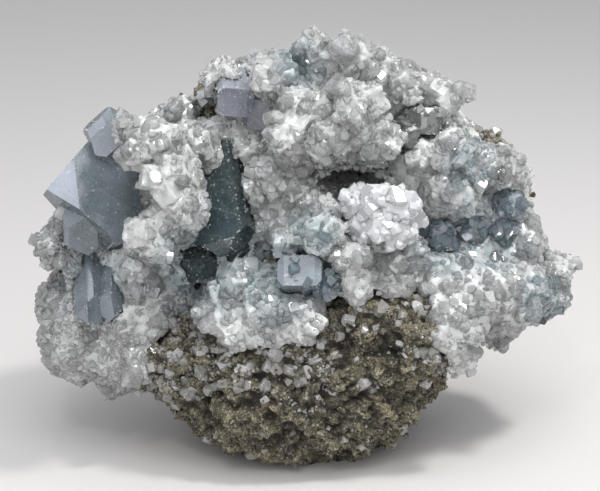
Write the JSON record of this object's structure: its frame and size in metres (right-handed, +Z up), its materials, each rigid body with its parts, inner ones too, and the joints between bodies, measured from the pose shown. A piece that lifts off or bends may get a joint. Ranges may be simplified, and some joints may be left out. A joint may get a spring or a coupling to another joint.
{
  "type": "celestite crystal cluster",
  "caption": "Pale blue celestite crystals and sparkling druse lining one side of a loose lump of brown-grey rock, with a small crystal-lined hollow.",
  "frame": {"origin": "middle of the flat spot on the rock's underside that the piece rests on", "axes": "+X to the viewer's right along the longest side, -Y out of the crystal side, +Z up"},
  "size_m": [0.1539, 0.0814, 0.1195],
  "materials": {
    "host_rock": "rough, granular, with ledges and pits",
    "druse": "translucent, small flat glittering faces",
    "blue_celestite": "clear to misty, flat bright faces",
    "teal_celestite": "clear, flat bright faces",
    "violet_celestite": "clear to misty, flat bright faces",
    "white_celestite": "misty white, flat bright faces"
  },
  "bodies": {
    "root": {"matrix": "host_rock", "druse_crust": "druse", "hollow_crust": "druse", "left_blue_crystals": "blue_celestite", "teal_crystals": "teal_celestite", "violet_crystals": "violet_celestite", "sill_blue_crystals": "blue_celestite", "white_crystals": "white_celestite", "right_blue_crystals": "blue_celestite", "dark_crystals": "blue_celestite"}
  },
  "joints": []
}
